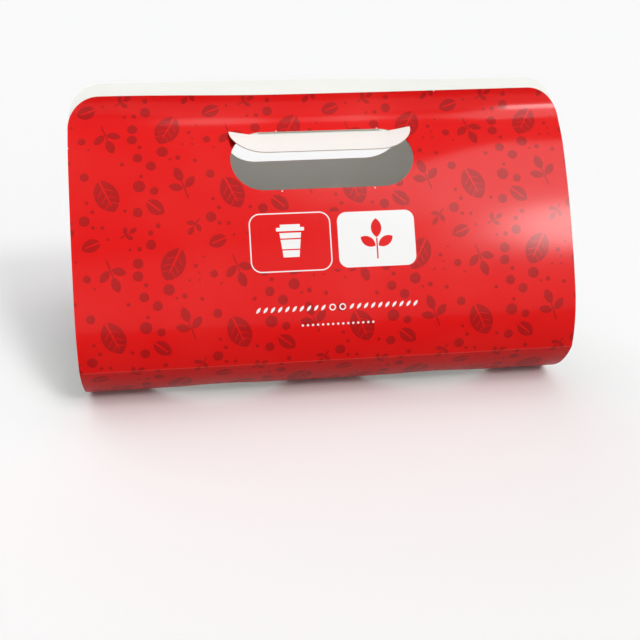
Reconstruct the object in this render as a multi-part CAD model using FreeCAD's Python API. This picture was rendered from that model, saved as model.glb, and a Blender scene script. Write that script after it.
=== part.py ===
import FreeCAD, Part
import math
import os

# Folded cup carrier made from one die-cut card blank.
# X runs along the width, the open-slot panel faces -Y, +Z is up and the base rests on Z = 0.
# Lengths are mm, angles are degrees, and panel lengths are measured along the card.

# Card blank
WIDTH = 238.0
CARD = 0.5
BASE_LENGTH = 127.5
PANEL_LENGTH = 134.0
CORNER_RADIUS = 15.5

# Cup holes in the base
HOLE_DIAMETER = 80.0
HOLE_SPACING = 107.0

# Handle slots
SLOT_WIDTH = 88.0
SLOT_HEIGHT = 31.0
SLOT_FROM_TOP = 19.5

# Bowed base, with a flat spot along its lowest line, and the crease to each panel
FLAT_SPOT = 14.0
BASE_TURN = 58.0
CREASE_RADIUS = 1.6
CREASE_TURN = 22.0

# Panels above the crease: share of the length below the slot, and the turn over that share
BELOW_SLOT = ((0.36, 32.5), (0.64, 9.5))
FRONT_SLOT_TURN = 22.0
FRONT_TOP_TURN = -57.0
BACK_SLOT_TURN = 12.0
BACK_TOP_TURN = -58.0
BACK_TOP_SHARE = 0.3

# Tab of the back slot, pushed through the front slot
NECK_WIDTH = 56.0
NECK_REACH = 16.9
NECK_DROP = 12.5
HEAD_LENGTH = 14.8
HEAD_DROP = 17.5
HEAD_WIDTH = 88.0
HEAD_LIFT = 3.4

# How far cutters run past the card, and the points of a cup hole's outline
CUTTER_MARGIN = 5.0
HOLE_POINTS = 32


class Walk:
    """Runs along the middle of the card in the Y-Z plane as lines and tangent arcs."""

    def __init__(self, y, z, heading, side):
        self.y = y
        self.z = z
        self.heading = heading
        self.side = side
        self.length = 0.0
        self.legs = []

    def point(self, y, z):
        """Mirrors the outward distance onto the front or the back."""
        return FreeCAD.Vector(0, self.side * y, z)

    def go(self, length, turn=0.0):
        """Adds a line, or an arc that turns by so many degrees, positive towards the inside."""
        self.legs.append((self.y, self.z, self.heading, length, turn, self.length))
        self.y, self.z, self.heading = self.on_leg(self.legs[-1], length, 0.0)
        self.length += length
        return self

    @staticmethod
    def on_leg(leg, distance, offset):
        """Gives outward distance, height and heading at a distance into a leg, offset to its left."""
        y, z, heading, length, turn, _ = leg
        start = math.radians(heading)
        if abs(turn) < 1e-6:
            here = start
            y += distance * math.cos(start)
            z += distance * math.sin(start)
        else:
            radius = length / math.radians(turn)
            here = start + distance / radius
            y += radius * (math.sin(here) - math.sin(start))
            z -= radius * (math.cos(here) - math.cos(start))
        return y - offset * math.sin(here), z + offset * math.cos(here), math.degrees(here)

    def at(self, distance):
        """Gives outward distance, height and heading of the card's middle at a length along it."""
        leg = self.legs[0]
        for candidate in self.legs:
            if candidate[5] <= distance + 1e-9:
                leg = candidate
        return self.on_leg(leg, distance - leg[5], 0.0)

    def edges(self, offset):
        """Makes the edges of one face of the card."""
        made = []
        for leg in self.legs:
            length = leg[3]
            a, m, b = [self.on_leg(leg, length * share, offset)[:2] for share in (0, 0.5, 1)]
            if abs(leg[4]) < 1e-6:
                made.append(Part.makeLine(self.point(*a), self.point(*b)))
            else:
                made.append(Part.Arc(self.point(*a), self.point(*m), self.point(*b)).toShape())
        return made

    def band(self):
        """Makes the closed section of the card along the walk."""
        inner = self.edges(CARD / 2)
        outer = self.edges(-CARD / 2)
        start = Part.makeLine(outer[0].Vertexes[0].Point, inner[0].Vertexes[0].Point)
        first = self.on_leg(self.legs[-1], self.legs[-1][3], CARD / 2)[:2]
        last = self.on_leg(self.legs[-1], self.legs[-1][3], -CARD / 2)[:2]
        end = Part.makeLine(self.point(*first), self.point(*last))
        return Part.Face(Part.Wire(Part.__sortEdges__(inner + outer + [start, end])))

    def sheet(self, width):
        """Extrudes the section to a width centred on X = 0."""
        solid = self.band().extrude(FreeCAD.Vector(width, 0, 0))
        solid.translate(FreeCAD.Vector(-width / 2, 0, 0))
        return solid


def half(side, slot_turn, top_turn, top_share):
    """Walks from the middle of the base over the crease to the panel's top edge."""
    walk = Walk(0.0, CARD / 2, 0.0, side)
    crease = CREASE_RADIUS * math.radians(CREASE_TURN)
    walk.go(FLAT_SPOT / 2)
    walk.go((BASE_LENGTH - FLAT_SPOT - crease) / 2, BASE_TURN)
    walk.go(crease, CREASE_TURN)
    below = PANEL_LENGTH - SLOT_FROM_TOP - SLOT_HEIGHT - crease / 2
    for share, turn in BELOW_SLOT:
        walk.go(below * share, turn)
    walk.go(SLOT_HEIGHT, slot_turn)
    walk.go(SLOT_FROM_TOP * top_share, top_turn)
    if top_share < 1:
        walk.go(SLOT_FROM_TOP * (1 - top_share))
    return walk


def stadium(width, height):
    """Makes a slot outline centred on the origin of the X-Y plane."""
    r = height / 2
    x = width / 2 - r
    top = Part.makeLine(FreeCAD.Vector(-x, r, 0), FreeCAD.Vector(x, r, 0))
    right = Part.Arc(FreeCAD.Vector(x, r, 0), FreeCAD.Vector(x + r, 0, 0), FreeCAD.Vector(x, -r, 0)).toShape()
    bottom = Part.makeLine(FreeCAD.Vector(x, -r, 0), FreeCAD.Vector(-x, -r, 0))
    left = Part.Arc(FreeCAD.Vector(-x, -r, 0), FreeCAD.Vector(-x - r, 0, 0), FreeCAD.Vector(-x, r, 0)).toShape()
    return Part.Wire([top, right, bottom, left])


def slot_cutter(walk):
    """Makes the slot's block, square to the card at the slot's middle."""
    low = walk.at(walk.length - SLOT_FROM_TOP - SLOT_HEIGHT)
    high = walk.at(walk.length - SLOT_FROM_TOP)
    rise = math.hypot(high[0] - low[0], high[1] - low[1])
    middle = walk.point((low[0] + high[0]) / 2, (low[1] + high[1]) / 2)
    lean = math.degrees(math.atan2(high[1] - low[1], walk.side * (high[0] - low[0])))
    block = Part.Face(stadium(SLOT_WIDTH, rise)).extrude(FreeCAD.Vector(0, 0, SLOT_HEIGHT))
    block.translate(FreeCAD.Vector(0, 0, -SLOT_HEIGHT / 2))
    block.rotate(FreeCAD.Vector(0, 0, 0), FreeCAD.Vector(1, 0, 0), lean)
    block.translate(middle)
    return block


def corner_cutter(walk, side_x):
    """Makes the block outside one rounded top corner, square to the panel's top strip."""
    top = walk.at(walk.length)
    low = walk.at(walk.length - CORNER_RADIUS)
    rise = math.hypot(top[0] - low[0], top[1] - low[1])
    lean = math.degrees(math.atan2(top[1] - low[1], walk.side * (top[0] - low[0])))
    r = CORNER_RADIUS
    arc = Part.Arc(FreeCAD.Vector(r, 0, 0),
                   FreeCAD.Vector(r * math.sqrt(0.5), rise * math.sqrt(0.5), 0),
                   FreeCAD.Vector(0, rise, 0)).toShape()
    past = CUTTER_MARGIN
    bounds = [FreeCAD.Vector(r, 0, 0), FreeCAD.Vector(r + past, 0, 0), FreeCAD.Vector(r + past, rise + past, 0),
              FreeCAD.Vector(0, rise + past, 0), FreeCAD.Vector(0, rise, 0)]
    sides = [Part.makeLine(start, end) for start, end in zip(bounds, bounds[1:])]
    outline = Part.Wire(Part.__sortEdges__([arc] + sides))
    block = Part.Face(outline).extrude(FreeCAD.Vector(0, 0, 2 * CORNER_RADIUS))
    block.translate(FreeCAD.Vector(WIDTH / 2 - r, 0, -CORNER_RADIUS))
    if side_x < 0:
        block = block.mirror(FreeCAD.Vector(0, 0, 0), FreeCAD.Vector(1, 0, 0))
    block.rotate(FreeCAD.Vector(0, 0, 0), FreeCAD.Vector(1, 0, 0), lean)
    block.translate(walk.point(low[0], low[1]))
    return block


def hole_cutter(walk, centre_x):
    """Makes an upright block whose outline is the round hole laid over the bowed base."""
    radius = HOLE_DIAMETER / 2
    points = []
    for i in range(HOLE_POINTS):
        angle = 2 * math.pi * i / HOLE_POINTS
        along = radius * math.sin(angle)
        y = math.copysign(walk.at(abs(along))[0], along)
        points.append(FreeCAD.Vector(centre_x + radius * math.cos(angle), y, -CUTTER_MARGIN))
    curve = Part.BSplineCurve()
    curve.interpolate(Points=points, PeriodicFlag=True)
    top = walk.at(BASE_LENGTH / 2)[1]
    return Part.Face(Part.Wire(curve.toShape())).extrude(FreeCAD.Vector(0, 0, top + 2 * CUTTER_MARGIN))


def lifted_section():
    """Makes the head's section across X: flat over the neck, with both shoulders bent up."""
    flat = NECK_WIDTH / 2
    end = HEAD_WIDTH / 2
    chains = []
    for offset in (CARD / 2, -CARD / 2):
        middle = FreeCAD.Vector((flat + end) / 2, 0, HEAD_LIFT / 4 + offset)
        points = [FreeCAD.Vector(flat, 0, offset), middle, FreeCAD.Vector(end, 0, HEAD_LIFT + offset)]
        mirrored = [FreeCAD.Vector(-p.x, 0, p.z) for p in points]
        chains += [Part.Arc(*points).toShape(), Part.Arc(*mirrored).toShape(),
                   Part.makeLine(mirrored[0], points[0])]
    for x in (end, -end):
        chains.append(Part.makeLine(FreeCAD.Vector(x, 0, HEAD_LIFT - CARD / 2),
                                    FreeCAD.Vector(x, 0, HEAD_LIFT + CARD / 2)))
    return Part.Face(Part.Wire(Part.__sortEdges__(chains)))


def head():
    """Makes the head: half a slot blank long, square at the crease and round at its far corners."""
    r = HEAD_LENGTH
    end = HEAD_WIDTH / 2
    x = end - r
    slope = r * math.sqrt(0.5)
    outline = [Part.makeLine(FreeCAD.Vector(-end, 0, 0), FreeCAD.Vector(end, 0, 0)),
               Part.makeLine(FreeCAD.Vector(-x, r, 0), FreeCAD.Vector(x, r, 0))]
    for sign in (1, -1):
        outline.append(Part.Arc(FreeCAD.Vector(sign * end, 0, 0),
                                FreeCAD.Vector(sign * (x + slope), slope, 0),
                                FreeCAD.Vector(sign * x, r, 0)).toShape())
    shape = Part.Face(Part.Wire(Part.__sortEdges__(outline)))
    shape = shape.extrude(FreeCAD.Vector(0, 0, 2 * HEAD_WIDTH))
    shape.translate(FreeCAD.Vector(0, 0, -HEAD_WIDTH))
    return lifted_section().extrude(FreeCAD.Vector(0, HEAD_LENGTH, 0)).common(shape)


def tab(back):
    """Makes the neck from the back slot's top edge and the head that hooks over the front panel."""
    y, z, _ = back.at(back.length - SLOT_FROM_TOP)
    neck = Walk(-y - CARD / 2, z, -NECK_DROP, -1)
    neck.go(NECK_REACH + CARD / 2)
    neck.go(CREASE_RADIUS * math.radians(HEAD_DROP - NECK_DROP), NECK_DROP - HEAD_DROP)
    hook = head()
    hook.rotate(FreeCAD.Vector(0, 0, 0), FreeCAD.Vector(0, 0, 1), 180)
    hook.rotate(FreeCAD.Vector(0, 0, 0), FreeCAD.Vector(1, 0, 0), HEAD_DROP)
    hook.translate(neck.point(neck.y - CARD / 2, neck.z))
    return neck.sheet(NECK_WIDTH).fuse(hook)


# The sheet
front = half(-1, FRONT_SLOT_TURN, FRONT_TOP_TURN, 1.0)
back = half(1, BACK_SLOT_TURN, BACK_TOP_TURN, BACK_TOP_SHARE)
halves = []
for walk in (front, back):
    sheet = walk.sheet(WIDTH)
    for cutter in (slot_cutter(walk), corner_cutter(walk, 1), corner_cutter(walk, -1)):
        sheet = sheet.cut(cutter)
    halves.append(sheet)
carrier = halves[0].fuse(halves[1])
for side_x in (1, -1):
    carrier = carrier.cut(hole_cutter(front, side_x * HOLE_SPACING / 2))
carrier = carrier.fuse(tab(back)).removeSplitter()
if len(carrier.Solids) == 1:
    carrier = carrier.Solids[0]

os.makedirs("parts", exist_ok=True)
carrier.exportStep("parts/cup_carrier.step")
box = carrier.BoundBox
print("solids", len(carrier.Solids), "valid", carrier.isValid(), "volume", round(carrier.Volume, 1))
print("box", [round(v, 2) for v in (box.XMin, box.XMax, box.YMin, box.YMax, box.ZMin, box.ZMax)])
for name, walk in (("front", front), ("back", back)):
    for label, distance in (("crease", BASE_LENGTH / 2), ("slot low", walk.length - SLOT_FROM_TOP - SLOT_HEIGHT),
                            ("slot top", walk.length - SLOT_FROM_TOP), ("top", walk.length)):
        y, z, heading = walk.at(distance)
        print(name, label, round(walk.side * y, 2), round(z, 2), "lean", round(heading - 90, 1))
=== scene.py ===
"""Dresses the folded cup carrier: one die-cut card, printed and laminated outside, bare board inside."""
import logging
import math
import random
from dataclasses import dataclass, field
from enum import IntEnum
from functools import reduce
from operator import add, or_
from typing import Any, Callable, Iterable, Sequence

import bpy
import numpy as np
from mathutils import Euler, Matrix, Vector
from mathutils.geometry import delaunay_2d_cdt


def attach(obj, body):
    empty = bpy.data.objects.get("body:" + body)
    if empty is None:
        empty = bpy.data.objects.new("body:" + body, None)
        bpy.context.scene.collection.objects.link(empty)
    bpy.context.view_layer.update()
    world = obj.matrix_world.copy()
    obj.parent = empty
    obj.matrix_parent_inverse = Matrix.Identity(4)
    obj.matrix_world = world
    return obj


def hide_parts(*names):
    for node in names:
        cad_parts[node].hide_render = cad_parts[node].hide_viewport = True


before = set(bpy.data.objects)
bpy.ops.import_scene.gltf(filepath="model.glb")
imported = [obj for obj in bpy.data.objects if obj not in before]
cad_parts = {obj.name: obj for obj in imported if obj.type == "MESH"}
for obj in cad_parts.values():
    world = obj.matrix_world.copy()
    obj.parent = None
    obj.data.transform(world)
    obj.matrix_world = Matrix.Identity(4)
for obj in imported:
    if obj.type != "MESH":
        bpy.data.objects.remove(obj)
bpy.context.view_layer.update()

LOG = logging.getLogger("cup_carrier")
MM = 0.001
UV_LAYER = "blank"
TINY = 1e-6
SLACK = 1e-9
Colour = tuple[float, float, float]
Grain = tuple[float, float, float]  # bumps for each mm, octaves, and the share of the finer ones
Motif = tuple[float, float, float, float]  # place across and up in mm, turn in degrees, and size


class Side(IntEnum):
    """The material slots of the card, by the face of the board that they cover."""

    OUTER = 0
    INNER = 1
    CUT = 2


# Form of the card


@dataclass(frozen=True)
class Leg:
    """A line or tangent arc along the middle of the card, in mm and degrees."""

    y: float
    z: float
    heading: float
    length: float
    turn: float
    start: float


class CardPath:
    """Runs along the middle of the card in the Y-Z plane, from a start point outwards."""

    def __init__(self, y: float, z: float, heading: float) -> None:
        """Starts at a place in mm, with a heading in degrees from the outward level, anticlockwise."""
        self.legs: list[Leg] = []
        self.y, self.z, self.heading, self.length = y, z, heading, 0.0

    def go(self, length: float, turn: float = 0.0) -> "CardPath":
        """Adds a line, or an arc that turns towards the inside.

        Args:
            length: Length in mm.
            turn: Turn in degrees.

        Returns:
            The path itself.
        """
        self.legs.append(Leg(self.y, self.z, self.heading, length, turn, self.length))
        self.length += length
        y, z, heading = self.at(np.array([self.length]))
        self.y, self.z, self.heading = float(y[0]), float(z[0]), math.degrees(float(heading[0]))
        return self

    def at(self, distance: np.ndarray) -> tuple[np.ndarray, np.ndarray, np.ndarray]:
        """Finds points along the path.

        Args:
            distance: Lengths along the path in mm.

        Returns:
            Outward distances and heights in mm, and headings in radians.
        """
        y, z, heading = (np.zeros_like(distance) for _ in range(3))
        for leg in self.legs:
            mask = distance >= leg.start - SLACK
            run = distance[mask] - leg.start
            start = math.radians(leg.heading)
            if abs(leg.turn) < TINY:
                y[mask] = leg.y + run * math.cos(start)
                z[mask] = leg.z + run * math.sin(start)
                heading[mask] = start
                continue
            radius = leg.length / math.radians(leg.turn)
            here = start + run / radius
            y[mask] = leg.y + radius * (np.sin(here) - math.sin(start))
            z[mask] = leg.z - radius * (np.cos(here) - math.cos(start))
            heading[mask] = here
        return y, z, heading

    def rows(self, step: float, turn_step: float) -> list[float]:
        """Lists lengths along the path, closer together where it bends.

        Args:
            step: Largest distance in mm.
            turn_step: Largest turn in degrees.

        Returns:
            Lengths from the start to the end.
        """
        found = [0.0]
        for leg in self.legs:
            count = max(1, math.ceil(leg.length / step), math.ceil(abs(leg.turn) / turn_step))
            found += [leg.start + leg.length * (i + 1) / count for i in range(count)]
        return found


@dataclass(frozen=True)
class Blank:
    """Driving sizes of the card and its fold, in mm and degrees."""

    width: float = 238.0
    card: float = 0.5
    base_length: float = 127.5
    panel_length: float = 134.0
    corner_radius: float = 15.5
    hole_diameter: float = 80.0
    hole_spacing: float = 107.0
    slot_width: float = 88.0
    slot_height: float = 31.0
    slot_from_top: float = 19.5
    flat_spot: float = 14.0
    base_turn: float = 58.0
    crease_radius: float = 1.6
    crease_turn: float = 22.0
    below_slot: tuple[tuple[float, float], ...] = ((0.36, 32.5), (0.64, 9.5))
    front_slot_turn: float = 22.0
    front_top_turn: float = -57.0
    back_slot_turn: float = 12.0
    back_top_turn: float = -58.0
    back_top_share: float = 0.3

    @property
    def crease(self) -> float:
        """Length along the card from the base's middle to a crease."""
        return self.base_length / 2

    @property
    def end(self) -> float:
        """Length along the card from the base's middle to a top edge."""
        return self.crease + self.panel_length

    @property
    def slot_middle(self) -> float:
        """Length along the card from the base's middle to a slot's middle."""
        return self.end - self.slot_from_top - self.slot_height / 2

    def half(self, slot_turn: float, top_turn: float, top_share: float) -> CardPath:
        """Walks from the middle of the base over the crease to a panel's top edge.

        Args:
            slot_turn: Turn over the slot.
            top_turn: Turn above the slot.
            top_share: Share of the top strip that the last turn takes.

        Returns:
            The path.
        """
        path = CardPath(0.0, self.card / 2, 0.0)
        crease = self.crease_radius * math.radians(self.crease_turn)
        path.go(self.flat_spot / 2)
        path.go((self.base_length - self.flat_spot - crease) / 2, self.base_turn)
        path.go(crease, self.crease_turn)
        below = self.panel_length - self.slot_from_top - self.slot_height - crease / 2
        for share, turn in self.below_slot:
            path.go(below * share, turn)
        path.go(self.slot_height, slot_turn)
        path.go(self.slot_from_top * top_share, top_turn)
        if top_share < 1:
            path.go(self.slot_from_top * (1 - top_share))
        return path

    def front(self) -> CardPath:
        """Walks up the panel with the open slot."""
        return self.half(self.front_slot_turn, self.front_top_turn, 1.0)

    def back(self) -> CardPath:
        """Walks up the panel that keeps its tab."""
        return self.half(self.back_slot_turn, self.back_top_turn, self.back_top_share)


@dataclass
class CardMesh:
    """Collects the card's corners, faces and what each face corner needs."""

    points: list[np.ndarray] = field(default_factory=list)
    faces: list[tuple[int, ...]] = field(default_factory=list)
    sides: list[Side] = field(default_factory=list)
    normals: list[np.ndarray] = field(default_factory=list)
    places: list[tuple[float, float]] = field(default_factory=list)

    def add(self, corners: Sequence[int], side: Side, normals: Iterable[np.ndarray],
            places: Iterable[Sequence[float]]) -> None:
        """Adds one face.

        Args:
            corners: Indices of its points.
            side: The face of the board that it belongs to.
            normals: One normal for each corner.
            places: The corner's place on the flat blank, in mm.
        """
        self.faces.append(tuple(corners))
        self.sides.append(side)
        self.normals.extend(normals)
        self.places.extend((p[0] * MM, p[1] * MM) for p in places)

    def build(self, name: str) -> bpy.types.Object:
        """Makes the object, with its flat-blank coordinates and smooth bends.

        Args:
            name: The object's name.

        Returns:
            The object, linked to the scene.
        """
        mesh = bpy.data.meshes.new(name)
        mesh.from_pydata([tuple(p * MM) for p in self.points], [], self.faces)
        layer = mesh.uv_layers.new(name=UV_LAYER)
        layer.data.foreach_set("uv", [c for place in self.places for c in place])
        mesh.polygons.foreach_set("material_index", [int(s) for s in self.sides])
        mesh.polygons.foreach_set("use_smooth", [True] * len(self.faces))
        mesh.normals_split_custom_set([tuple(n) for n in self.normals])
        mesh.update()
        made = bpy.data.objects.new(name, mesh)
        bpy.context.scene.collection.objects.link(made)
        return made


Surface = Callable[[np.ndarray, np.ndarray, float], np.ndarray]


@dataclass(frozen=True)
class Patch:
    """A flat shape of card with its outlines, laid out in blank coordinates (mm)."""

    loops: tuple[np.ndarray, ...]
    inside: Callable[[np.ndarray, np.ndarray], np.ndarray]
    columns: np.ndarray
    rows: np.ndarray
    clear: float = 0.7

    def triangles(self) -> tuple[np.ndarray, np.ndarray]:
        """Fills the shape with triangles that follow its rows and outlines.

        Returns:
            The flat points, and the triangles anticlockwise.
        """
        grid_x, grid_s = (g.ravel() for g in np.meshgrid(self.columns, self.rows))
        keep = self.inside(grid_x, grid_s) > self.clear
        points = [Vector((x, s)) for x, s in zip(grid_x[keep], grid_s[keep])]
        edges: list[tuple[int, int]] = []
        for loop in self.loops:
            first = len(points)
            points += [Vector(p) for p in loop]
            edges += [(first + i, first + (i + 1) % len(loop)) for i in range(len(loop))]
        flat, _, faces, *_ = delaunay_2d_cdt(points, edges, [], 0, TINY)
        flat_points = np.array([tuple(p) for p in flat])
        kept = np.array(faces)
        middle = flat_points[kept].mean(axis=1)
        kept = kept[self.inside(middle[:, 0], middle[:, 1]) > 0]
        a, b, c = (flat_points[kept[:, i]] for i in range(3))
        (ax, ay), (bx, by) = (b - a).T, (c - a).T
        area = ax * by - ay * bx
        kept = kept[np.abs(area) > TINY]
        area = area[np.abs(area) > TINY]
        kept[area < 0] = kept[area < 0][:, ::-1]
        return flat_points, kept

    def fold(self, mesh: CardMesh, surface: Surface, thickness: float,
             place_of: Callable[[np.ndarray], np.ndarray], flipped: bool = False) -> None:
        """Folds the shape and adds both faces of the board and its cut edges.

        Args:
            mesh: What takes the faces.
            surface: Gives folded points for blank points and an offset towards the inner face.
            thickness: Thickness of the board in mm.
            place_of: Gives the printed place of each flat point.
            flipped: True where the fold turns the inner face the other way.
        """
        flat, faces = self.triangles()
        x, s = flat[:, 0], flat[:, 1]
        step = 0.02
        along_x = surface(x + step, s, 0.0) - surface(x - step, s, 0.0)
        along_s = surface(x, s + step, 0.0) - surface(x, s - step, 0.0)
        inward = np.cross(along_x, along_s)
        inward /= np.linalg.norm(inward, axis=1)[:, None]
        if flipped:
            inward = -inward
            faces = faces[:, ::-1]
        sign = -1.0 if flipped else 1.0
        first = len(mesh.points)
        count = len(flat)
        mesh.points.extend(surface(x, s, -sign * thickness / 2))
        mesh.points.extend(surface(x, s, sign * thickness / 2))
        place = place_of(flat)
        for a, b, c in faces:
            mesh.add((first + c, first + b, first + a), Side.OUTER, (-inward[c], -inward[b], -inward[a]),
                     (place[c], place[b], place[a]))
            mesh.add((first + count + a, first + count + b, first + count + c), Side.INNER,
                     (inward[a], inward[b], inward[c]), (place[a], place[b], place[c]))
        edges = {(int(f[i]), int(f[(i + 1) % 3])) for f in faces for i in range(3)}
        for a, b in edges:
            if (b, a) in edges:
                continue
            corners = (first + a, first + b, first + count + b, first + count + a)
            outer_a, outer_b, inner_b = (mesh.points[corners[i]] for i in range(3))
            normal = np.cross(outer_b - outer_a, inner_b - outer_b)
            normal /= np.linalg.norm(normal)
            mesh.add(corners, Side.CUT, [normal] * 4, (place[a], place[b], place[b], place[a]))


def arc(centre: tuple[float, float], radius: float, start: float, turn: float,
        count: int) -> list[tuple[float, float]]:
    """Lists the points of an arc in a number of steps, both ends among them, in mm and degrees."""
    angles = [math.radians(start + turn * i / count) for i in range(count + 1)]
    return [(centre[0] + radius * math.cos(a), centre[1] + radius * math.sin(a)) for a in angles]


def round_box(x: np.ndarray, y: np.ndarray, width: float, height: float, radius: float) -> np.ndarray:
    """Gives the distance into a rectangle with round corners, negative outside it.

    Args:
        x: Across from its middle.
        y: Up from its middle.
        width: Full width.
        height: Full height.
        radius: Corner radius.

    Returns:
        The distances.
    """
    across = np.abs(x) - width / 2 + radius
    up = np.abs(y) - height / 2 + radius
    outside = np.hypot(np.maximum(across, 0), np.maximum(up, 0))
    return radius - outside - np.minimum(np.maximum(across, up), 0)


def ease(share: np.ndarray) -> np.ndarray:
    """Eases a share from 0 to 1 in and out."""
    share = np.clip(share, 0.0, 1.0)
    return share * share * (3 - 2 * share)


@dataclass
class Carrier:
    """The folded card with its lock."""

    blank: Blank = field(default_factory=Blank)
    row_step: float = 3.0
    turn_step: float = 2.5
    column_step: float = 4.0
    outline_gap: float = 0.3
    corner_steps: int = 20
    cap_steps: int = 28
    hole_steps: int = 120
    slot_edge_points: int = 17
    top_bow: float = 1.1
    bow_from: float = 0.78
    ripple: float = 0.3
    ripple_run: float = 41.0
    ripple_phases: tuple[float, float] = (0.7, 2.1)
    ripple_drift: float = 1.3
    end_forward: float = 4.0
    end_rise: tuple[float, float] = (0.9, 0.9)
    ends_band: tuple[float, float] = (20.0, 75.0)
    back_rise: float = 1.75
    left_band: tuple[float, float] = (75.0, 85.0)
    loose_band: tuple[float, float] = (50.0, 10.0)

    def wave(self, x: np.ndarray, s: np.ndarray) -> np.ndarray:
        """Gives how far the soft card strays towards its inner face, in mm.

        Args:
            x: Across the blank in mm.
            s: Along the blank in mm, negative on the front.

        Returns:
            Distances in mm.
        """
        blank = self.blank
        up = np.clip((np.abs(s) - blank.crease) / blank.panel_length, 0, 1)
        phase = x / self.ripple_run + np.where(s < 0, *self.ripple_phases) + self.ripple_drift * up
        body = np.sin(math.pi * up) * np.sin(phase)
        across = 1 - (x / (blank.width / 2)) ** 2
        top = ease((up - self.bow_from) / (1 - self.bow_from))
        return self.ripple * body - np.where(s < 0, self.top_bow, 0.0) * across * top

    def stray(self, x: np.ndarray, s: np.ndarray) -> tuple[np.ndarray, np.ndarray]:
        """Gives how far the top strips stray from the even fold, where no lock holds them.

        Args:
            x: Across the blank in mm.
            s: Along the blank in mm, negative on the front.

        Returns:
            Distances along Y and Z in mm.
        """
        low, high = self.loose_band
        up = ease((np.abs(s) - self.blank.end + low) / (low - high))
        ends = ease((np.abs(x) - self.ends_band[0]) / self.ends_band[1])
        left = ease((self.left_band[0] - x) / self.left_band[1])
        front = s < 0
        pulled = np.where(front | ((s > 0) & (x > 0)), 1.0, 0.0) * ends
        rise = np.where(front, (self.end_rise[0] + self.end_rise[1] * (x < 0)) * ends,
                        self.back_rise * left + self.end_rise[0] * ends * (x > 0))
        return -self.end_forward * pulled * up, rise * up

    def sheet_surface(self) -> Surface:
        """Gives the fold of the whole blank, front and back.

        Returns:
            The fold.
        """
        front, back = self.blank.front(), self.blank.back()

        def surface(x: np.ndarray, s: np.ndarray, offset: float) -> np.ndarray:
            """Folds blank points.

            Args:
                x: Across the blank in mm.
                s: Along the blank in mm, negative on the front.
                offset: Distance towards the inner face in mm.

            Returns:
                The folded points in mm.
            """
            y, z, heading = (np.zeros_like(s) for _ in range(3))
            for path, mask, sign in ((front, s < 0, -1.0), (back, s >= 0, 1.0)):
                y[mask], z[mask], heading[mask] = path.at(np.abs(s[mask]))
                y[mask] *= sign
            out = offset + self.wave(x, s)
            sign = np.where(s < 0, -1.0, 1.0)
            stray_y, stray_z = self.stray(x, s)
            y = y - sign * out * np.sin(heading) + stray_y
            return np.stack([x, y, z + out * np.cos(heading) + stray_z], axis=1)

        return surface

    def sheet_patch(self) -> Patch:
        """Lays out the blank with its rounded corners, handle slots and cup holes.

        Returns:
            The flat shape.
        """
        blank = self.blank
        half = blank.width / 2
        r = blank.corner_radius
        bends = sorted({round(sign * d, 6) for path, sign in ((blank.front(), -1), (blank.back(), 1))
                        for d in path.rows(self.row_step, self.turn_step)})
        rows = np.array(bends)
        side = [s for s in bends if abs(s) < blank.end - r - self.outline_gap]
        columns = np.linspace(-half, half, round(blank.width / self.column_step) + 1)
        top = [x for x in columns if abs(x) < half - r - self.outline_gap]
        right, far = half - r, blank.end - r
        straights = ([(half, s) for s in side], [(x, blank.end) for x in reversed(top)],
                     [(-half, s) for s in reversed(side)], [(x, -blank.end) for x in top])
        corners = ((right, far), (-right, far), (-right, -far), (right, -far))
        outline: list[tuple[float, float]] = []
        for i, (straight, corner) in enumerate(zip(straights, corners)):
            outline += straight + arc(corner, r, 90 * i, 90, self.corner_steps)
        loops = [np.array(outline)]
        cap = blank.slot_height / 2
        reach = blank.slot_width / 2 - cap
        edge = list(np.linspace(-reach, reach, self.slot_edge_points)[1:-1])
        for sign in (-1, 1):
            middle = sign * blank.slot_middle
            slot = arc((reach, middle), cap, -90, 180, self.cap_steps)
            slot += [(x, middle + cap) for x in reversed(edge)]
            slot += arc((-reach, middle), cap, 90, 180, self.cap_steps)
            slot += [(x, middle - cap) for x in edge]
            centre = (sign * blank.hole_spacing / 2, 0.0)
            hole = arc(centre, blank.hole_diameter / 2, 0, 360, self.hole_steps)
            loops += [np.array(slot), np.array(hole[:-1])]

        def inside(x: np.ndarray, s: np.ndarray) -> np.ndarray:
            """Gives the distance into the card from its nearest cut edge.

            Args:
                x: Across the blank in mm.
                s: Along the blank in mm, negative on the front.

            Returns:
                The distances in mm, negative off the card.
            """
            depth = round_box(x, s, blank.width, 2 * blank.end, r)
            slots = round_box(x, np.abs(s) - blank.slot_middle, blank.slot_width, blank.slot_height, cap)
            holes = blank.hole_diameter / 2 - np.hypot(np.abs(x) - blank.hole_spacing / 2, s)
            return np.minimum(depth, np.minimum(-slots, -holes))

        return Patch(tuple(loops), inside, columns, rows)

    def build(self, tab: "Tab") -> bpy.types.Object:
        """Builds the sheet and its tab as one card.

        Args:
            tab: The tab of the back slot.

        Returns:
            The object.
        """
        mesh = CardMesh()
        self.sheet_patch().fold(mesh, self.sheet_surface(), self.blank.card, lambda flat: flat)
        tab.patch().fold(mesh, tab.surface(), self.blank.card, tab.place, flipped=True)
        return mesh.build("folded_card")

    def dress(self, card: bpy.types.Object) -> None:
        """Gives the card its finishes, hides the part that it replaces and ties the card to the root body.

        Args:
            card: The folded card.
        """
        finishes = {
            Side.OUTER: LaminatedPrint().material(self.blank),
            Side.INNER: BareBoard().material(self.blank),
            Side.CUT: CutEdge().material(),
        }
        for side in Side:
            card.data.materials.append(finishes[side])
        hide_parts("cup_carrier")
        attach(card, "root")


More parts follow.
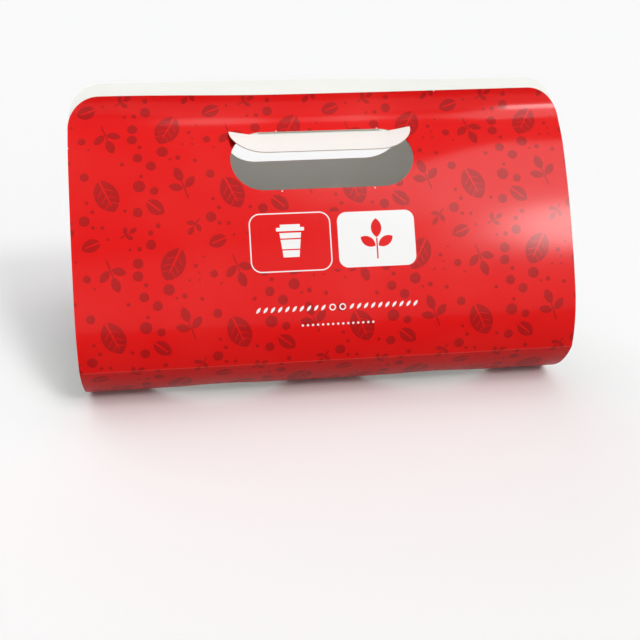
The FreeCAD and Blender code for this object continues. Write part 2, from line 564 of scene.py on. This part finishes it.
@dataclass
class Tab:
    """The back slot's tab: a neck under the front panel's top strip and a head hooked over the panel."""

    carrier: Carrier
    neck_width: float = 59.0
    neck_reach: float = 14.9
    neck_drop: float = 10.5
    neck_flare: float = 3.5
    flare_run: float = 3.0
    hinge_radius: float = 0.3
    head_length: float = 14.8
    head_width: float = 88.0
    head_drop: float = 17.5
    head_lift: float = 2.8
    lift_from: float = 26.0
    lift_bend: float = 1.5
    lift_run: float = 6.0
    lift_limit: float = 1.2
    crease_radius: float = 1.6
    row_step: float = 1.5
    turn_step: float = 6.0
    column_count: int = 45
    corner_steps: int = 20
    edge_points: int = 24
    flare_points: int = 6
    shoulder_points: int = 7
    clear: float = 0.4

    @property
    def blank(self) -> Blank:
        """The sizes of the card that the tab belongs to."""
        return self.carrier.blank

    @property
    def root(self) -> float:
        """Length along the card from the base's middle to the tab's hinge."""
        return self.blank.slot_middle + self.blank.slot_height / 2

    @property
    def hinge(self) -> tuple[float, ...]:
        """The back panel's outward distance and height at the hinge in mm, and its heading in radians."""
        return tuple(float(v[0]) for v in self.blank.back().at(np.array([self.root])))

    @property
    def crease_length(self) -> float:
        """Length of card in the head's crease."""
        return self.crease_radius * math.radians(self.head_drop - self.neck_drop)

    def path(self) -> CardPath:
        """Walks from inside the back slot's top edge, round the hinge and out over the front panel.

        Returns:
            The path.
        """
        y, z, heading = self.hinge
        path = CardPath(y, z, math.degrees(heading) + 180)
        path.go(self.hinge_length, self.neck_drop - math.degrees(heading))
        path.go(self.neck_reach)
        path.go(self.crease_length, self.head_drop - self.neck_drop)
        path.go(self.head_length)
        return path

    @property
    def hinge_length(self) -> float:
        """Length of card in the hinge's bend."""
        return self.hinge_radius * abs(math.radians(self.neck_drop) - self.hinge[2])

    @property
    def crease_at(self) -> float:
        """Length along the tab to the middle of the head's crease."""
        return self.hinge_length + self.neck_reach + self.crease_length / 2

    def surface(self) -> Surface:
        """Gives the fold of the tab, its shoulders bent up over the front panel.

        Returns:
            The fold.
        """
        path = self.path()
        flare = self.head_width / 2 - self.lift_from
        lean = self.hinge[2]

        def surface(x: np.ndarray, s: np.ndarray, offset: float) -> np.ndarray:
            """Folds tab points.

            Args:
                x: Across the tab in mm.
                s: Along the tab in mm, from its hinge.
                offset: Distance down, towards the printed face, in mm.

            Returns:
                The folded points in mm.
            """
            y, z, heading = path.at(s)
            share = np.clip((np.abs(x) - self.lift_from) / flare, 0, self.lift_limit)
            lift = self.head_lift * share ** self.lift_bend
            lift = lift * ease((s - self.crease_at) / self.lift_run + 1)
            out = offset - lift
            at_hinge = np.full_like(x, self.root)
            stray_y, stray_z = self.carrier.stray(x, at_hinge)
            ripple = self.carrier.wave(x, at_hinge)
            held = 1 - ease(s / self.crease_at)
            y = y - out * np.sin(heading) + (stray_y - ripple * math.sin(lean)) * held
            z = z + out * np.cos(heading) + (stray_z + ripple * math.cos(lean)) * held
            return np.stack([x, y, z], axis=1)

        return surface

    def half_width(self, s: np.ndarray) -> np.ndarray:
        """Gives the neck's half width at lengths along the tab, which flares into the shoulders."""
        share = np.clip((s - self.crease_at + self.flare_run) / self.flare_run, 0, 1)
        return self.neck_width / 2 + self.neck_flare * share ** 2

    def patch(self) -> Patch:
        """Lays out the neck, the square shoulders and the round-cornered head.

        Returns:
            The flat shape.
        """
        path = self.path()
        head, r = self.head_width / 2, self.head_length
        crease, end = self.crease_at, path.length
        rows = np.array(path.rows(self.row_step, self.turn_step))
        columns = np.linspace(-head, head, self.column_count)
        side = sorted([s for s in rows if 0 <= s < crease - self.flare_run]
                      + list(np.linspace(crease - self.flare_run, crease, self.flare_points)[:-1]))
        stem = list(zip((float(w) for w in self.half_width(np.array(side))), side))
        shoulder = list(np.linspace(self.neck_width / 2 + self.neck_flare, head, self.shoulder_points)[:-1])
        outline = stem + [(x, crease) for x in shoulder]
        outline += arc((head - r, end - r), r, 0, 90, self.corner_steps)
        outline += [(x, end) for x in np.linspace(head - r, r - head, self.edge_points)[1:-1]]
        outline += arc((r - head, end - r), r, 90, 90, self.corner_steps)
        outline += [(-x, crease) for x in reversed(shoulder)] + [(-w, s) for w, s in reversed(stem)]

        def inside(x: np.ndarray, s: np.ndarray) -> np.ndarray:
            """Gives the distance into the tab from its nearest cut edge.

            Args:
                x: Across the tab in mm.
                s: Along the tab in mm, from its hinge.

            Returns:
                The distances in mm, negative off the tab.
            """
            across = self.half_width(s) - np.abs(x)
            low = round_box(x, s - (end - r), 2 * head, 2 * r, r)
            past = s - crease + (across > 0) * crease
            return np.where(s < crease, np.minimum(across, s), np.minimum(low, past))

        return Patch((np.array(outline),), inside, columns, rows, self.clear)

    def place(self, flat: np.ndarray) -> np.ndarray:
        """Gives each tab point's place on the flat blank."""
        return np.stack([flat[:, 0], self.root - flat[:, 1]], axis=1)


# Shader maths


class Value:
    """A number socket that takes part in Python expressions."""

    def __init__(self, nodes: "Nodes", socket: bpy.types.NodeSocket) -> None:
        """Wraps an output socket of a tree."""
        self.nodes = nodes
        self.socket = socket

    def maths(self, operation: str, *others: "Value | float", clamp: bool = False) -> "Value":
        """Adds a Math node with this as its first input, its result kept from 0 to 1 where clamp is True."""
        node = self.nodes.add("ShaderNodeMath", {"operation": operation, "use_clamp": clamp},
                              dict(enumerate((self, *others))))
        return Value(self.nodes, node.outputs[0])

    def __add__(self, other: "Value | float") -> "Value":
        """Adds."""
        return self.maths("ADD", other)

    __radd__ = __add__

    def __sub__(self, other: "Value | float") -> "Value":
        """Takes away."""
        return self.maths("SUBTRACT", other)

    def __rsub__(self, other: float) -> "Value":
        """Takes this away from a number."""
        return (-self).maths("ADD", other)

    def __mul__(self, other: "Value | float") -> "Value":
        """Multiplies."""
        return self.maths("MULTIPLY", other)

    __rmul__ = __mul__

    def __neg__(self) -> "Value":
        """Changes the sign."""
        return self.maths("MULTIPLY", -1.0)

    def __abs__(self) -> "Value":
        """Drops the sign."""
        return self.maths("ABSOLUTE")

    def __and__(self, other: "Value | float") -> "Value":
        """Keeps what is in both shapes, as distances negative inside."""
        return self.maths("MAXIMUM", other)

    def __or__(self, other: "Value | float") -> "Value":
        """Joins two shapes, as distances negative inside."""
        return self.maths("MINIMUM", other)

    def root(self) -> "Value":
        """Takes the square root."""
        return self.maths("SQRT")

    def wrapped(self, pitch: float) -> "Value":
        """Repeats a distance at a pitch, from half below to half above."""
        return self.maths("WRAP", pitch / 2, -pitch / 2)

    def cover(self, soft: float = 0.12) -> "Value":
        """Turns a distance in mm, negative inside, into a mask of 1 inside, with an edge this soft."""
        return (self * (-1 / soft)).maths("ADD", 0.5, clamp=True)


@dataclass
class Spot:
    """A place on the flat card in mm, across and up."""

    x: Value
    y: Value

    def moved(self, x: float, y: float, turn: float = 0.0) -> "Spot":
        """Gives the same place seen from another origin.

        Args:
            x: The origin's place across.
            y: The origin's place up.
            turn: The origin's turn in degrees.

        Returns:
            The place from there.
        """
        across, up = self.x - x, self.y - y
        if turn == 0.0:
            return Spot(across, up)
        c, s = math.cos(math.radians(turn)), math.sin(math.radians(turn))
        return Spot(across * c + up * s, up * c - across * s)

    def disc(self, radius: float) -> Value:
        """Gives the distance from a disc round the origin."""
        return (self.x * self.x + self.y * self.y).root() - radius

    def blade(self, length: float, width: float) -> Value:
        """Gives the distance from a leaf blade with a point at both ends, along Y.

        Args:
            length: Its length in mm.
            width: Its width in mm.

        Returns:
            The distance, negative inside.
        """
        radius = (length * length + width * width) / (4 * width)
        across = abs(self.x) + (radius - width / 2)
        return (across * across + self.y * self.y).root() - radius

    def box(self, width: float, height: float, corner: float = 0.0) -> Value:
        """Gives the distance from a box with round corners round the origin.

        Args:
            width: Its width in mm.
            height: Its height in mm.
            corner: Its corner radius in mm.

        Returns:
            The distance, negative inside.
        """
        across = abs(self.x) - (width / 2 - corner)
        up = abs(self.y) - (height / 2 - corner)
        if corner == 0.0:
            return across & up
        out_x, out_y = across & 0.0, up & 0.0
        return (out_x * out_x + out_y * out_y).root() + ((across & up) | 0.0) - corner


class Nodes:
    """The node tree of a material or of the world."""

    def __init__(self, owner: bpy.types.ID) -> None:
        """Empties the tree.

        Args:
            owner: The material or world.
        """
        self.owner = owner
        owner.use_nodes = True
        self.tree = owner.node_tree
        self.tree.nodes.clear()

    def add(self, kind: str, settings: dict[str, Any] | None = None,
            inputs: dict[int | str, Any] | None = None) -> bpy.types.Node:
        """Adds a node.

        Args:
            kind: The node's type.
            settings: Its settings, set first.
            inputs: Values, sockets or links of its input sockets, by index or name.

        Returns:
            The node.
        """
        node = self.tree.nodes.new(kind)
        for key, value in (settings or {}).items():
            setattr(node, key, value)
        for key, value in (inputs or {}).items():
            if isinstance(value, Value):
                value = value.socket
            if isinstance(value, bpy.types.NodeSocket):
                self.tree.links.new(value, node.inputs[key])
            else:
                node.inputs[key].default_value = value
        return node

    def place(self) -> bpy.types.NodeSocket:
        """Gives the place on the flat blank as a vector in mm."""
        uv = self.add("ShaderNodeUVMap", {"uv_map": UV_LAYER})
        return self.vector("SCALE", {0: uv.outputs[0], "Scale": 1 / MM}).outputs[0]

    def vector(self, operation: str, inputs: dict[int | str, Any]) -> bpy.types.Node:
        """Adds a Vector Math node."""
        return self.add("ShaderNodeVectorMath", {"operation": operation}, inputs)

    def split(self, vector: bpy.types.NodeSocket) -> Spot:
        """Splits a vector into across and up."""
        node = self.add("ShaderNodeSeparateXYZ", {}, {0: vector})
        return Spot(Value(self, node.outputs[0]), Value(self, node.outputs[1]))

    def noise(self, vector: bpy.types.NodeSocket, grain: Grain) -> Value:
        """Gives soft noise from about 0 to 1 at a place in mm."""
        inputs = dict(zip(("Scale", "Detail", "Roughness"), grain))
        return Value(self, self.add("ShaderNodeTexNoise", {}, {"Vector": vector, **inputs}).outputs[0])

    def mix(self, factor: Value, below: Any, above: Any) -> bpy.types.NodeSocket:
        """Mixes two colours.

        Args:
            factor: Share of the second.
            below: The first colour or socket.
            above: The second colour or socket.

        Returns:
            The mixed colour.
        """
        def rgba(colour: Any) -> Any:
            """Adds alpha to a plain colour."""
            return colour if isinstance(colour, bpy.types.NodeSocket) else (*colour, 1.0)

        node = self.add("ShaderNodeMix", {"data_type": "RGBA"}, {0: factor, 6: rgba(below), 7: rgba(above)})
        return node.outputs[2]

    def dress(self, inputs: dict[int | str, Any]) -> bpy.types.ID:
        """Ends a material in a Principled shader.

        Args:
            inputs: Values or links of the shader's sockets, by name.

        Returns:
            The material.
        """
        shader = self.add("ShaderNodeBsdfPrincipled", {}, inputs)
        self.add("ShaderNodeOutputMaterial", {}, {0: shader.outputs[0]})
        return self.owner

    def bump(self, height: Value, strength: float, depth: float) -> bpy.types.NodeSocket:
        """Makes a normal from a height of about 0 to 1, with its depth in mm."""
        inputs = {"Strength": strength, "Distance": depth * MM, "Height": height}
        return self.add("ShaderNodeBump", {}, inputs).outputs[0]


# Print on the outer face


@dataclass(frozen=True)
class AllOverPrint:
    """A repeat of leaves, sprigs and dots, in mm on the flat blank."""

    repeat: tuple[float, float] = (58.0, 66.0)
    leaf: tuple[float, float] = (16.5, 11.0)
    leaflet: tuple[float, float] = (7.6, 4.2)
    leaves: tuple[Motif, ...] = (
        (-15.0, 18.0, 28.0, 1.0), (14.0, -15.0, -24.0, 1.0), (6.0, 8.0, 70.0, 0.55),
        (-22.0, -9.0, -50.0, 0.6))
    sprigs: tuple[Motif, ...] = (
        (15.0, 22.0, -18.0, 1.0), (-9.0, -20.0, 160.0, 1.0), (-4.5, 0.5, 35.0, 0.6),
        (23.0, 3.0, -120.0, 0.55))
    large_dots: tuple[int, float, float] = (12, 1.7, 2.9)
    small_dots: tuple[int, float, float] = (22, 0.5, 1.2)
    dot_gap: float = 1.1
    dot_tries: int = 400
    leaf_room: float = 0.46
    sprig_room: float = 1.05
    seed: int = 11
    rib: tuple[float, float, float] = (0.38, 0.025, 0.3)
    veins: tuple[float, ...] = (-0.24, -0.02, 0.18)
    vein: tuple[float, float, float] = (0.22, 0.75, 0.34)
    veined_from: float = 0.8
    stalk: tuple[float, float, float, float] = (0.7, 1.1, 0.3, -0.45)
    top_leaflet: float = 0.62
    side_leaflet: tuple[float, float, float, float] = (0.46, -0.08, 58.0, 0.9)

    def dots(self) -> list[tuple[float, float, float]]:
        """Scatters the dots between the leaves and sprigs.

        Returns:
            Places and radii.
        """
        rng = random.Random(self.seed)
        width, height = self.repeat
        taken = [(x, y, self.leaf[0] * self.leaf_room * size) for x, y, _, size in self.leaves]
        taken += [(x, y, self.leaflet[0] * self.sprig_room * size) for x, y, _, size in self.sprigs]
        found: list[tuple[float, float, float]] = []
        wanted = [rng.uniform(low, high) for count, low, high in (self.large_dots, self.small_dots)
                  for _ in range(count)]
        for radius in wanted:
            for _ in range(self.dot_tries):
                x, y = rng.uniform(-width / 2, width / 2), rng.uniform(-height / 2, height / 2)
                gaps = [math.hypot((x - a + width / 2) % width - width / 2,
                                   (y - b + height / 2) % height - height / 2) - r for a, b, r in taken]
                if min(gaps) > radius + self.dot_gap:
                    taken.append((x, y, radius))
                    found.append((x, y, radius))
                    break
        return found

    def shape(self, nodes: Nodes, place: bpy.types.NodeSocket) -> Value:
        """Builds the whole repeat.

        Args:
            nodes: The material's nodes.
            place: The place on the blank in mm.

        Returns:
            The distance from the motifs, negative inside.
        """
        half = (self.repeat[0] / 2, self.repeat[1] / 2, 1.0)

        def near(x: float, y: float) -> bpy.types.NodeSocket:
            """Gives the place from the nearest copy of a point.

            Args:
                x: The point's place across in mm.
                y: The point's place up in mm.

            Returns:
                The place as a vector in mm.
            """
            moved = nodes.vector("SUBTRACT", {0: place, 1: (x, y, 0.0)})
            limits = {1: half, 2: tuple(-h for h in half)}
            return nodes.vector("WRAP", {0: moved.outputs[0], **limits}).outputs[0]

        shapes: list[Value] = []
        for motifs, draw in ((self.leaves, self.leaf_shape), (self.sprigs, self.sprig_shape)):
            for x, y, turn, size in motifs:
                shapes.append(draw(nodes.split(near(x, y)).moved(0, 0, turn), size))
        for x, y, radius in self.dots():
            length = nodes.vector("LENGTH", {0: near(x, y)})
            shapes.append(Value(nodes, length.outputs["Value"]) - radius)
        return reduce(or_, shapes)

    def leaf_shape(self, at: Spot, size: float) -> Value:
        """Gives the distance from a broad leaf with open veins, a plain rib on a small one.

        Args:
            at: The place from its middle.
            size: Its size against the large leaf.

        Returns:
            The distance, negative inside.
        """
        length, width = (side * size for side in self.leaf)
        rib_half, rib_taper, rib_top = self.rib
        vein_half, vein_slope, vein_reach = self.vein
        veins = (abs(at.x) + at.y * rib_taper - rib_half) & (at.y - length * rib_top)
        for up in self.veins if size > self.veined_from else ():
            slope = at.y - abs(at.x) * vein_slope - length * up
            veins = veins | ((abs(slope) - vein_half) & (abs(at.x) - width * vein_reach))
        return at.blade(length, width) & -veins

    def sprig_shape(self, at: Spot, size: float) -> Value:
        """Gives the distance from a stalk with three leaflets.

        Args:
            at: The place from its middle.
            size: Its size against the large sprig.

        Returns:
            The distance, negative inside.
        """
        length, width = (side * size for side in self.leaflet)
        thick, tall, corner, middle = self.stalk
        across, up, turn, share = self.side_leaflet
        joined = at.moved(0, length * middle).box(thick, length * tall, corner)
        joined = joined | at.moved(0, length * self.top_leaflet).blade(length, width)
        for side in (-1, 1):
            leaflet = at.moved(side * length * across, length * up, -side * turn)
            joined = joined | leaflet.blade(length * share, width * share)
        return joined


@dataclass(frozen=True)
class FrontLabels:
    """White shapes in the middle of the front panel: two labels with plain pictures, and two rules."""

    across: float = 2.5
    along: float = -122.0
    size: tuple[float, float] = (38.0, 27.5)
    gap: float = 3.0
    line: float = 0.55
    border: float = -31.5
    border_pitch: float = 3.4
    border_length: float = 34.0
    foot: float = -39.5
    foot_pitch: float = 2.4
    foot_length: float = 36.0
    corner: float = 5.0
    inset: float = 0.5
    twig: tuple[float, float, float] = (3.3, 1.25, -38.0)
    middle_gap: float = 5.5
    ring: tuple[float, float, float] = (2.4, 1.3, 0.28)
    bead: float = 0.55
    sprig: tuple[float, float] = (1.2, -0.5)
    cup_height: float = 17.0
    cup_body: tuple[float, float, float, float] = (0.27, 0.12, 0.08, 0.34)
    sleeve: tuple[float, float, float] = (0.06, 0.15, 0.55)
    lids: tuple[tuple[float, float, float, float], ...] = ((0.36, 0.78, 0.1, 0.4), (0.45, 0.56, 0.09, 0.3))

    def cup(self, at: Spot, height: float) -> Value:
        """Gives the distance from a plain picture of a lidded cup.

        Args:
            at: The place from its middle.
            height: Its height in mm.

        Returns:
            The distance, negative inside.
        """
        half, taper, low, tall = self.cup_body
        body = (abs(at.x) - at.y * taper - height * half) & (abs(at.y + height * low) - height * tall)
        down, deep, thick = self.sleeve
        sleeve = abs(abs(at.y + height * down) - height * deep) - self.line * thick
        picture = body & -sleeve
        for up, wide, thin, corner in self.lids:
            picture = picture | at.moved(0, height * up).box(height * wide, height * thin, corner)
        return picture

    def centres(self, at: Spot) -> tuple[Spot, Spot]:
        """Gives the place from the labels' middle on the front panel and, turned about, on the back."""
        return Spot(at.x - self.across, self.along - at.y), Spot(-at.x - self.across, self.along + at.y)

    def white(self, at: Spot) -> Value:
        """Builds every white shape on both panels."""
        return reduce(or_, [self.panel(centre) for centre in self.centres(at)])

    def ground(self, at: Spot) -> Value:
        """Gives the distance from the plain ground of the labels, on both panels."""
        width, height = self.size
        return reduce(or_, [c.box(2 * width + self.gap, height, self.corner) for c in self.centres(at)])

    def panel(self, centre: Spot) -> Value:
        """Builds the white shapes of one panel.

        Args:
            centre: The place from the middle of the labels, upright on the folded panel.

        Returns:
            The distance, negative inside.
        """
        width, height = self.size
        left, right = (centre.moved(side * (width + self.gap) / 2, 0) for side in (-1, 1))
        frame_line = abs(left.box(width, height, self.corner)) - self.line / 2
        solid = right.box(width - 2 * self.inset, height - 2 * self.inset, self.corner - self.inset)
        size, lift = self.sprig
        sprig = AllOverPrint().sprig_shape(right.moved(0, lift), size)
        border = centre.moved(0, self.border)
        length, thick, turn = self.twig
        twigs = Spot(border.x.wrapped(self.border_pitch), border.y).moved(0, 0, turn).blade(length, thick)
        half = self.border_length / 2
        span = abs(abs(border.x) - half - self.middle_gap) - half
        out, radius, line = self.ring
        rings = abs(Spot(abs(border.x) - out, border.y).disc(radius)) - line
        foot = centre.moved(0, self.foot)
        beads = Spot(foot.x.wrapped(self.foot_pitch), foot.y).disc(self.bead)
        row = beads & (abs(foot.x) - self.foot_length / 2)
        return frame_line | self.cup(left, self.cup_height) | (solid & -sprig) | (twigs & span) | rings | row


# Finishes


@dataclass(frozen=True)
class LaminatedPrint:
    """Red print under a gloss film."""

    red: Colour = (0.70, 0.0015, 0.001)
    deep: Colour = (0.385, 0.001, 0.0012)
    white: Colour = (0.84, 0.84, 0.83)
    worn: Colour = (0.82, 0.075, 0.06)
    shine: float = 0.02
    roughness: float = 0.42
    coat: float = 0.23
    coat_roughness: float = 0.16
    motif_ink: tuple[float, float] = (0.88, 0.1)
    mottle_roughness: float = 0.08
    crease_width: float = 0.5
    crack_edge: float = 0.35
    crack_share: tuple[float, float] = (0.05, 0.9)
    crack_roughness: float = 0.2
    crack_relief: float = 0.4
    relief: tuple[float, float] = (0.4, 0.06)
    nick_size: float = 0.32
    nicks: tuple[tuple[float, float], ...] = (
        (57.0, -197.6), (-21.0, -178.6), (28.0, -178.6), (-20.5, -146.6), (24.0, -146.6), (-118.9, -171.5),
        (118.9, 96.0), (-64.0, 197.6))
    edge: float = 0.16
    label_edge: float = 0.14
    nick_edge: float = 0.3
    mottle: Grain = (0.9, 4.0, 0.6)
    wear: Grain = (0.02, 2.0, 0.5)
    wear_range: tuple[float, float] = (0.42, 0.35)
    cracks: Grain = (1.6, 3.0, 0.7)
    films: tuple[tuple[Grain, float], ...] = (((0.35, 3.0, 0.5), 0.6), ((1.6, 3.0, 0.6), 0.4),
                                              ((0.05, 2.0, 0.5), 2.0))

    def material(self, blank: Blank) -> bpy.types.Material:
        """Builds the finish of the outer face.

        Args:
            blank: The card's sizes.

        Returns:
            The material.
        """
        nodes = Nodes(bpy.data.materials.new("laminated_print"))
        place = nodes.place()
        at = nodes.split(place)
        labels = FrontLabels()
        ground = labels.ground(at).cover(self.edge)
        motifs = AllOverPrint().shape(nodes, place).cover(self.edge) * (1 - ground)
        mottle = nodes.noise(place, self.mottle)
        least, more = self.motif_ink
        ink = nodes.mix(motifs * (least + more * mottle), self.red, self.deep)
        low, share = self.wear_range
        faded = (nodes.noise(place, self.wear) - low).maths("MULTIPLY", share, clamp=True)
        ink = nodes.mix(faded, ink, self.worn)
        line = abs(abs(at.y) - blank.crease) - self.crease_width / 2
        least, more = self.crack_share
        cracked = line.cover(self.crack_edge) * (nodes.noise(place, self.cracks) * more + least)
        ink = nodes.mix(cracked, ink, self.worn)
        ink = nodes.mix(labels.white(at).cover(self.label_edge), ink, self.white)
        marks = reduce(or_, [at.moved(x, s).disc(self.nick_size) for x, s in self.nicks])
        ink = nodes.mix(marks.cover(self.nick_edge), ink, self.white)
        film = reduce(add, [nodes.noise(place, grain) * weight for grain, weight in self.films])
        return nodes.dress({
            "Base Color": ink,
            "Specular IOR Level": self.shine,
            "Roughness": self.roughness + self.mottle_roughness * mottle + self.crack_roughness * cracked,
            "Coat Weight": self.coat,
            "Coat Roughness": self.coat_roughness,
            "Normal": nodes.bump(film - cracked * self.crack_relief, *self.relief),
        })


@dataclass(frozen=True)
class BareBoard:
    """Uncoated board inside the carrier."""

    pale: Colour = (0.875, 0.882, 0.845)
    dark: Colour = (0.81, 0.795, 0.74)
    # painted shade: the darker colour drawn along each crease
    crease_shade: Colour = (0.70, 0.66, 0.59)
    roughness: float = 0.72
    fibre_roughness: float = 0.12
    patchiness: tuple[float, float, float] = (0.5, 0.3, 0.9)
    score_width: float = 1.1
    score_edge: float = 0.8
    crease_shade_share: tuple[float, float] = (0.35, 0.4)
    score_relief: float = 2.0
    relief: tuple[float, float] = (0.3, 0.06)
    grain: Colour = (1.0, 0.28, 1.0)
    fibres: Grain = (2.6, 5.0, 0.65)
    clouds: Grain = (0.12, 3.0, 0.5)

    def material(self, blank: Blank) -> bpy.types.Material:
        """Builds the finish of the inner face, with each crease's score in relief and painted shade
        darkening the board along it.

        Args:
            blank: The card's sizes.

        Returns:
            The material.
        """
        nodes = Nodes(bpy.data.materials.new("bare_board"))
        place = nodes.place()
        stretched = nodes.vector("MULTIPLY", {0: place, 1: self.grain})
        fibres = nodes.noise(stretched.outputs[0], self.fibres)
        weight, low, gain = self.patchiness
        patchy = fibres * weight + nodes.noise(place, self.clouds) * weight - low
        tone = nodes.mix(patchy.maths("MULTIPLY", gain, clamp=True), self.pale, self.dark)
        line = abs(abs(nodes.split(place).y) - blank.crease) - self.score_width / 2
        score = line.cover(self.score_edge)
        # painted shade: the board is drawn darker along each crease
        least, more = self.crease_shade_share
        tone = nodes.mix(score * (least + more * fibres), tone, self.crease_shade)
        return nodes.dress({
            "Base Color": tone,
            "Roughness": self.roughness + self.fibre_roughness * fibres,
            "Normal": nodes.bump(fibres + score * self.score_relief, *self.relief),
        })


@dataclass(frozen=True)
class CutEdge:
    """Die-cut edge of the board, brown partly from the cut's burn and partly as painted shade on the thin
    edge.
    """

    # partly painted shade: both tones are darker than the board, standing for the shadowed thin edge as well
    # as its burn
    pale: Colour = (0.70, 0.64, 0.55)
    dark: Colour = (0.42, 0.34, 0.27)
    plies: Grain = (1.3, 4.0, 0.6)
    roughness: tuple[float, float] = (0.7, 0.2)
    relief: tuple[float, float] = (0.4, 0.08)

    def material(self) -> bpy.types.Material:
        """Builds the finish of the cut edges.

        Returns:
            The material.
        """
        nodes = Nodes(bpy.data.materials.new("cut_edge"))
        place = nodes.place()
        plies = nodes.noise(place, self.plies)
        least, more = self.roughness
        return nodes.dress({
            "Base Color": nodes.mix(plies, self.pale, self.dark),
            "Roughness": least + more * plies,
            "Normal": nodes.bump(plies, *self.relief),
        })


# Stage


@dataclass(frozen=True)
class SoftSun:
    """A soft light so far off that it falls evenly on the floor, in degrees and W/m2."""

    name: str
    around: float
    up: float
    spread: float
    power: float

    def build(self) -> None:
        """Adds the light; around turns from the front to the right."""
        lamp = bpy.data.lights.new(self.name, "SUN")
        lamp.energy = self.power
        lamp.angle = math.radians(self.spread)
        made = bpy.data.objects.new(self.name, lamp)
        around, up = math.radians(self.around), math.radians(self.up)
        towards = Vector((math.sin(around) * math.cos(up), -math.cos(around) * math.cos(up), math.sin(up)))
        made.rotation_euler = towards.to_track_quat("Z", "Y").to_euler()
        bpy.context.scene.collection.objects.link(made)


@dataclass
class Studio:
    """A plain white floor under soft lights."""

    floor_size: float = 40.0
    floor: Colour = (0.98, 0.98, 0.98)
    bounce: Colour = (0.33, 0.32, 0.31)
    world: Colour = (0.09, 0.09, 0.092)
    backdrop: float = 0.95
    lights: tuple[SoftSun, ...] = (
        SoftSun("key", 26.0, 34.0, 10.0, 1.0),
        SoftSun("key_over", 28.0, 48.0, 24.0, 0.9),
        SoftSun("fill", 8.0, 6.0, 60.0, 1.05),
        SoftSun("top", 0.0, 84.0, 90.0, 1.02),
        SoftSun("back", 200.0, 22.0, 70.0, 0.9),
    )

    def build(self) -> None:
        """Builds the floor, the world and the lights."""
        mesh = bpy.data.meshes.new("floor")
        half = self.floor_size / 2
        corners = [(x * half, y * half, 0.0) for x, y in ((-1, -1), (1, -1), (1, 1), (-1, 1))]
        mesh.from_pydata(corners, [], [(0, 1, 2, 3)])
        floor = bpy.data.objects.new("floor", mesh)
        bpy.context.scene.collection.objects.link(floor)
        paper = Nodes(bpy.data.materials.new("white_floor"))
        mesh.materials.append(paper.dress({
            "Base Color": paper.mix(self.seen(paper), self.bounce, self.floor),
            "Roughness": 1.0,
            "Specular IOR Level": 0.0,
        }))
        self.build_world()
        for light in self.lights:
            light.build()

    def seen(self, nodes: Nodes) -> Value:
        """Tells what the camera and reflections see from what lights the object.

        Args:
            nodes: The nodes of the floor or world.

        Returns:
            1 for camera, glossy and transmission rays, else 0.
        """
        rays = nodes.add("ShaderNodeLightPath")
        mask = Value(nodes, rays.outputs["Is Camera Ray"])
        for kind in ("Is Glossy Ray", "Is Transmission Ray"):
            mask = mask.maths("MAXIMUM", Value(nodes, rays.outputs[kind]))
        return mask

    def build_world(self) -> None:
        """Builds a dim world that the camera and reflections see as white."""
        world = bpy.data.worlds.new("studio")
        bpy.context.scene.world = world
        nodes = Nodes(world)
        shade = nodes.mix(self.seen(nodes), self.world, (self.backdrop, self.backdrop, self.backdrop))
        back = nodes.add("ShaderNodeBackground", {}, {0: shade})
        nodes.add("ShaderNodeOutputWorld", {}, {0: back.outputs[0]})


@dataclass
class Viewpoint:
    """The camera: in front, a little to the left and above, looking down at the front panel."""

    place: tuple[float, float, float] = (-0.0658, -0.5014, 0.2400)
    pitch: float = 23.1
    yaw: float = -7.6
    focal_pixels: float = 1042.0
    frame_pixels: float = 640.0
    sensor: float = 36.0

    def build(self) -> None:
        """Adds the camera and makes it the scene's."""
        lens = bpy.data.cameras.new("camera")
        lens.sensor_width = self.sensor
        lens.lens = self.focal_pixels / self.frame_pixels * self.sensor
        camera = bpy.data.objects.new("camera", lens)
        camera.location = self.place
        camera.rotation_euler = Euler((math.radians(90 - self.pitch), 0.0, math.radians(self.yaw)))
        bpy.context.scene.collection.objects.link(camera)
        bpy.context.scene.camera = camera


def main() -> None:
    """Builds the carrier, the stage and the camera."""
    logging.basicConfig(level=logging.INFO, format="%(name)s: %(message)s")
    scene = bpy.context.scene
    scene.view_settings.view_transform = "Standard"
    Viewpoint().build()
    Studio().build()
    carrier = Carrier()
    card = carrier.build(Tab(carrier))
    carrier.dress(card)
    LOG.info("%s: %d faces", card.name, len(card.data.polygons))


if __name__ == "__main__":
    main()
